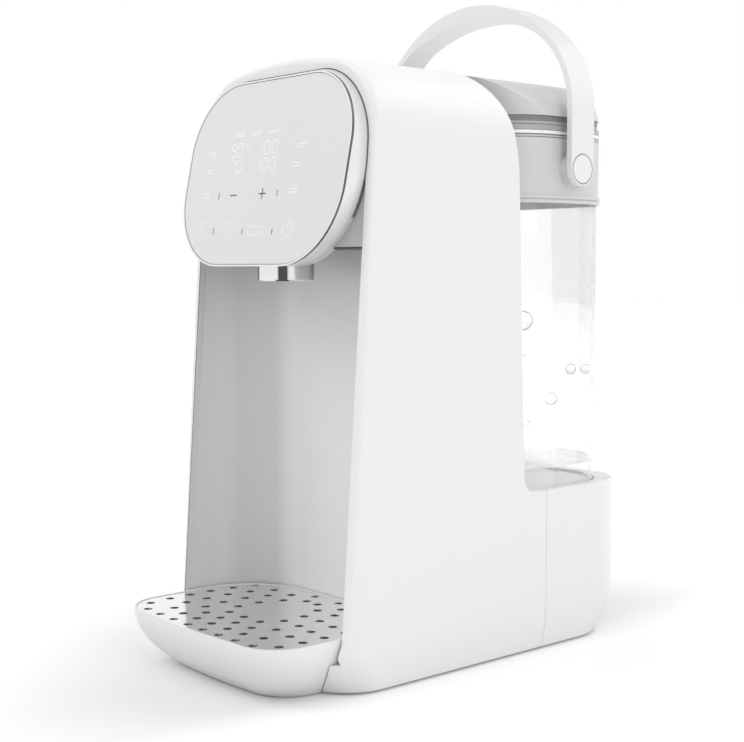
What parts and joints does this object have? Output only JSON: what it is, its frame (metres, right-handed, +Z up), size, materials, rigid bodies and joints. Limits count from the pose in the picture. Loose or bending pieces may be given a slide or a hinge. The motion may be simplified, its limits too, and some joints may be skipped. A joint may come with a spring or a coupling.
{
  "type": "baby formula maker",
  "caption": "Countertop formula maker with touch panel head, heated nozzle over a bottle niche, drip tray with grille, and a lift-out clear water tank with lid and folding carry handle.",
  "frame": {"origin": "middle of the footprint, on the surface the machine stands on", "axes": "+Z up, -Y towards the drip tray and control panel, +X to the right seen from the front"},
  "size_m": [0.1696, 0.286, 0.3924],
  "materials": {
    "white_shell": "satin white moulding",
    "silver_plastic": "satin silver grey",
    "light_grey": "satin light grey",
    "silver_trim": "polished",
    "panel_face": "back-painted glossy panel",
    "chrome_trim": "polished",
    "grille_steel": "brushed",
    "clear_tank": "clear moulded",
    "soft_grey": "soft",
    "dark_rubber": "matt",
    "dark_plastic": "matt",
    "grey_plastic": "matt",
    "screw_steel": "plain",
    "heater_steel": "plain",
    "board_green": "solder mask"
  },
  "bodies": {
    "housing": {"body_cowl": "white_shell", "dock_cover": "white_shell", "base_plate": "grey_plastic", "rubber_feet": "dark_rubber", "base_screws": "screw_steel", "screw_posts": "grey_plastic", "niche_liner": "silver_plastic", "head_ceiling": "silver_plastic", "head_pod": "white_shell", "panel_trim_ring": "silver_trim", "control_glass": "panel_face", "display_board": "board_green", "display_module": "dark_plastic", "nozzle_sleeve": "chrome_trim", "nozzle_outlet": "soft_grey", "dock_socket": "dark_plastic", "dock_seal": "soft_grey", "column_cover": "white_shell", "inner_frame": "grey_plastic", "flow_heater": "heater_steel", "heater_clips": "dark_plastic", "water_pump": "dark_plastic", "pump_mount": "dark_rubber", "suction_hose": "soft_grey", "pressure_hose": "soft_grey", "outlet_hose": "soft_grey", "control_board": "board_green", "board_parts": "dark_plastic", "board_standoffs": "grey_plastic", "power_inlet": "dark_plastic"},
    "tray": {"drip_tray": "white_shell"},
    "grille": {"drip_grille": "grille_steel"},
    "tank": {"water_tank": "clear_tank", "tank_collar": "light_grey", "rim_band": "silver_trim", "valve_body": "dark_plastic", "pivot_pins": "screw_steel"},
    "lid": {"tank_lid": "light_grey", "lid_seal": "soft_grey"},
    "handle": {"carry_handle": "white_shell", "pivot_caps": "white_shell"},
    "plunger": {"valve_plunger": "light_grey", "valve_spring": "screw_steel"}
  },
  "joints": [
    {"name": "tank_lift", "type": "slide", "parent": "housing", "child": "tank", "axis": [0, 0, 1], "range_m": [0, 0.12]},
    {"name": "lid_lift", "type": "slide", "parent": "tank", "child": "lid", "axis": [0, 0, 1], "range_m": [0, 0.008]},
    {"name": "handle_fold", "type": "hinge", "parent": "tank", "child": "handle", "pos_m": [0, 0.084, 0.287], "axis": [1, 0, 0], "range_deg": [-112, 0]},
    {"name": "valve_plunger_push", "type": "slide", "parent": "tank", "child": "plunger", "axis": [0, 0, 1], "range_m": [0, 0.002], "stiffness_N_per_m": 150, "springref_m": -0.004, "deforming": ["valve_spring"]},
    {"name": "tray_pull", "type": "slide", "parent": "housing", "child": "tray", "axis": [0, -1, 0], "range_m": [0, 0.11]},
    {"name": "grille_lift", "type": "slide", "parent": "tray", "child": "grille", "axis": [0, 0, 1], "range_m": [0, 0.04]}
  ]
}
